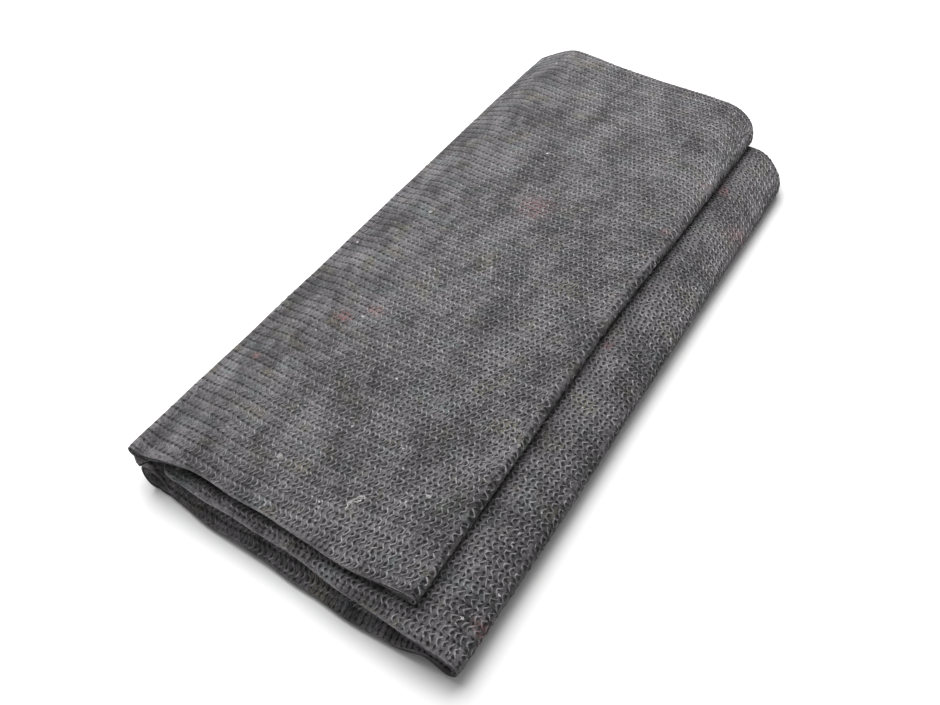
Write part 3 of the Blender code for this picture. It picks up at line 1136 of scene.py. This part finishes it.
def felt_material(finish):
    """Stitch-bonded felt: mottled fibres with needle marks darkened by painted shade, and a plain band at
    each cut edge.
    """
    nodes = Nodes("stitch_bonded_felt")
    flat = nodes.uv("flat_cloth")
    felt, shade = felt_colour(nodes, flat, finish)
    felt = white_specks(nodes, flat, red_patches(nodes, flat, felt, finish), finish)
    fluff = fluff_patches(nodes, flat)
    colour = nodes.mix(nodes.times(fluff, 0.5), felt, finish.pale_felt)
    from_edge = nodes.split(nodes.uv("cut_edge"))[1]
    stitched = nodes.step(from_edge, finish.selvage, finish.selvage + PLAIN_BAND_FADE)
    plain = nodes.times(stitched, nodes.times_plus(fluff, -0.6, 1.0))
    shaded_hole, shaded_dimple, shaded_groove = (nodes.times(mark, plain) for mark in needle_marks(nodes, flat))
    # Painted shade: the needle holes, grooves and dimples are darkened towards the needle holes' colour.
    for mark, painted_shade in ((shaded_groove, 0.40), (shaded_dimple, 0.80), (shaded_hole, 0.97)):
        colour = nodes.mix(nodes.times(mark, painted_shade), colour, finish.shaded_hole)
    height = nodes.times(nodes.noise(flat, scale=1300.0, roughness=0.7), 0.35)
    for bump, rise in ((shaded_groove, -0.8), (shaded_dimple, -0.8), (shaded_hole, -1.0), (shade, 0.3)):
        height = nodes.times_plus(bump, rise, height)
    return nodes.shaded({
        "Base Color": grained(nodes, flat, colour),
        "Roughness": 0.95,
        "Sheen Weight": 0.1,
        "Sheen Roughness": 0.6,
        "Specular IOR Level": 0.1,
        "Normal": nodes.bump(height, distance=0.0009, strength=0.9),
    })


def yarn_material(finish):
    """The stitch yarn: paler than the felt, with the felt's clouds and its loose fibres over it."""
    nodes = Nodes("stitch_yarn")
    flat = nodes.uv("flat_cloth")
    felt, shade = felt_colour(nodes, flat, finish)
    uneven = nodes.noise(flat, scale=230.0, offset=(14.0, 2.0, 0.0), detail=1.0)
    shade = nodes.times_plus(nodes.step(uneven, 0.30, 0.70), 0.45, nodes.times(shade, 0.55))
    colour = nodes.mix(shade, finish.dark_yarn, finish.yarn)
    x, _, _ = nodes.split(nodes.object_place())
    sunk = nodes.straight(x, FLAT_SIDE_X, FLAT_SIDE_X - FLAT_SIDE_WIDTH)
    colour = nodes.mix(nodes.times(sunk, 0.6), colour, felt)
    colour = nodes.mix(nodes.times(fluff_patches(nodes, flat), 0.5), colour, felt)
    colour = white_specks(nodes, flat, red_patches(nodes, flat, colour, finish), finish)
    fuzz = nodes.noise(flat, scale=1800.0, roughness=0.7)
    return nodes.shaded({
        "Base Color": grained(nodes, flat, colour),
        "Roughness": 0.9,
        "Sheen Weight": 0.1,
        "Sheen Roughness": 0.6,
        "Specular IOR Level": 0.15,
        "Normal": nodes.bump(fuzz, distance=0.0004, strength=0.8),
    })


def cut_edge_material(finish):
    """The cut edge of the felt: torn grey fibres without stitches, paled partly as a painted highlight, and
    darker near the floor as painted shade.
    """
    nodes = Nodes("cut_felt_edge")
    place = nodes.object_place()
    fibres = nodes.noise(place, scale=520.0, detail=3.0, roughness=0.75)
    shade = nodes.times_plus(fibres, 0.65, nodes.times(nodes.noise(place, scale=90.0), 0.35))
    colour = nodes.mix(nodes.step(shade, 0.38, 0.62), finish.dark_yarn, finish.pale_cut_felt_and_highlight)
    # Painted shade: the cut edges darken towards the dark felt near the floor.
    low = nodes.straight(nodes.split(place)[2], UNSHADED_EDGE_HEIGHT, FULL_EDGE_SHADE_HEIGHT)
    return nodes.shaded({
        "Base Color": nodes.mix(nodes.times(low, 0.8), colour, finish.dark_felt),
        "Roughness": 0.95,
        "Specular IOR Level": 0.15,
        "Normal": nodes.bump(fibres, distance=0.0010, strength=0.9),
    })


def lint_material(finish):
    """Loose white fibres."""
    return Nodes("white_lint").shaded({"Base Color": finish.lint, "Roughness": 0.8})


def floor_material(studio):
    """Pale matt studio floor."""
    return Nodes("studio_white").shaded({"Base Color": studio.floor_colour, "Roughness": 0.9})


# Operators


class BLANKET_OT_cloth(bpy.types.Operator):
    """Fold the cut cloth into its stack"""

    bl_idname = "blanket.cloth"
    bl_label = "Folded Cloth"

    def execute(self, context):
        cloth = context.scene.blanket_cloth
        finish = context.scene.blanket_finish
        points, maps = FoldedStrip(cloth).points()
        points = soften(points, cloth.unevenness)
        maps["stitches"] = stitch_places(maps["flat_cloth"], finish)
        sheet = fold_sheet(SHEET_NAME, points, maps)
        normals = outward_normals(sheet, points.shape)
        sheet.data.materials.append(felt_material(finish))
        sheet.data.materials.append(cut_edge_material(finish))
        thicken(sheet, cloth.ply_thickness, maps["cut_edge"][..., 1])
        round_cut_edges(sheet, cloth.ply_thickness * CUT_ROUNDING)
        yarn = lay_stitches(sheet, points, normals, maps, finish, cloth.ply_thickness)
        yarn.data.materials.append(yarn_material(finish))
        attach(sheet, BODY)
        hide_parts(NODE)
        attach(yarn, BODY)
        return {"FINISHED"}


class BLANKET_OT_lint(bpy.types.Operator):
    """Scatter the loose white lint over the cloth"""

    bl_idname = "blanket.lint"
    bl_label = "Loose Lint"

    def execute(self, context):
        finish = context.scene.blanket_finish
        sheet = bpy.data.objects[SHEET_NAME]
        chance = random.Random(LINT_SEED)
        fibres = [tuft_fibre(chance, lint) for lint in LINT for _ in range(lint.fibres)]
        fibres += [strand_fibre(chance, strand) for strand in STRANDS for _ in range(FIBRES_PER_STRAND)]
        lint = lay_fibres(LINT_NAME, [[on_cloth(sheet, *point) for point in fibre] for fibre in fibres])
        lint.data.materials.append(lint_material(finish))
        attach(lint, BODY)
        return {"FINISHED"}


class BLANKET_OT_stage(bpy.types.Operator):
    """Set up the floor, the lights and the camera"""

    bl_idname = "blanket.stage"
    bl_label = "Studio"

    def execute(self, context):
        studio = context.scene.blanket_studio
        bpy.ops.object.select_all(action="DESELECT")
        bpy.ops.mesh.primitive_plane_add(size=FLOOR_SIZE, location=(0.0, 0.0, FLOOR_HEIGHT))
        floor = context.object
        floor.name = "studio_floor"
        floor.data.materials.append(floor_material(studio))
        self.add_light("key_light", studio.key_power, KEY_SIZE, KEY_PLACE)
        self.add_light("fill_light", studio.fill_power, FILL_SIZE, FILL_PLACE)
        world = bpy.data.worlds.new("studio_sky")
        world.use_nodes = True
        sky = world.node_tree.nodes["Background"]
        sky.inputs["Color"].default_value = (1.0, 1.0, 1.0, 1.0)
        sky.inputs["Strength"].default_value = studio.sky
        context.scene.world = world
        context.scene.view_settings.view_transform = "Standard"
        bpy.ops.object.camera_add(location=studio.camera_place, rotation=studio.camera_turn)
        camera = context.object
        camera.name = "studio_camera"
        camera.data.sensor_width = SENSOR_WIDTH
        camera.data.lens = studio.lens
        context.scene.camera = camera
        return {"FINISHED"}

    def add_light(self, name, power, size, place):
        """A square light that faces the blanket."""
        turn = (-Vector(place)).to_track_quat("-Z", "Y").to_euler()
        bpy.ops.object.light_add(type="AREA", location=place, rotation=turn)
        light = bpy.context.object
        light.name = name
        light.data.energy = power
        light.data.size = size


class BLANKET_PT_panel(bpy.types.Panel):
    """Sizes, colours and steps of the folded blanket"""

    bl_label = "Folded Moving Blanket"
    bl_idname = "BLANKET_PT_panel"
    bl_space_type = "VIEW_3D"
    bl_region_type = "UI"
    bl_category = "Blanket"

    def draw(self, context):
        for title, group in (
            ("Cloth", context.scene.blanket_cloth),
            ("Finish", context.scene.blanket_finish),
            ("Studio", context.scene.blanket_studio),
        ):
            box = self.layout.box()
            box.label(text=title)
            for name in group.__annotations__:
                box.prop(group, name)
        for operator in OPERATORS:
            self.layout.operator(operator.bl_idname)


GROUPS = {"blanket_cloth": BlanketCloth, "blanket_finish": FeltFinish, "blanket_studio": Studio}
OPERATORS = (BLANKET_OT_stage, BLANKET_OT_cloth, BLANKET_OT_lint)


def register():
    for name, group in GROUPS.items():
        bpy.utils.register_class(group)
        setattr(bpy.types.Scene, name, bpy.props.PointerProperty(type=group))
    for cls in (*OPERATORS, BLANKET_PT_panel):
        bpy.utils.register_class(cls)


def unregister():
    for cls in reversed((*OPERATORS, BLANKET_PT_panel)):
        bpy.utils.unregister_class(cls)
    for name, group in reversed(GROUPS.items()):
        delattr(bpy.types.Scene, name)
        bpy.utils.unregister_class(group)


def main():
    register()
    bpy.ops.blanket.stage()
    bpy.ops.blanket.cloth()
    bpy.ops.blanket.lint()


if __name__ == "__main__":
    main()
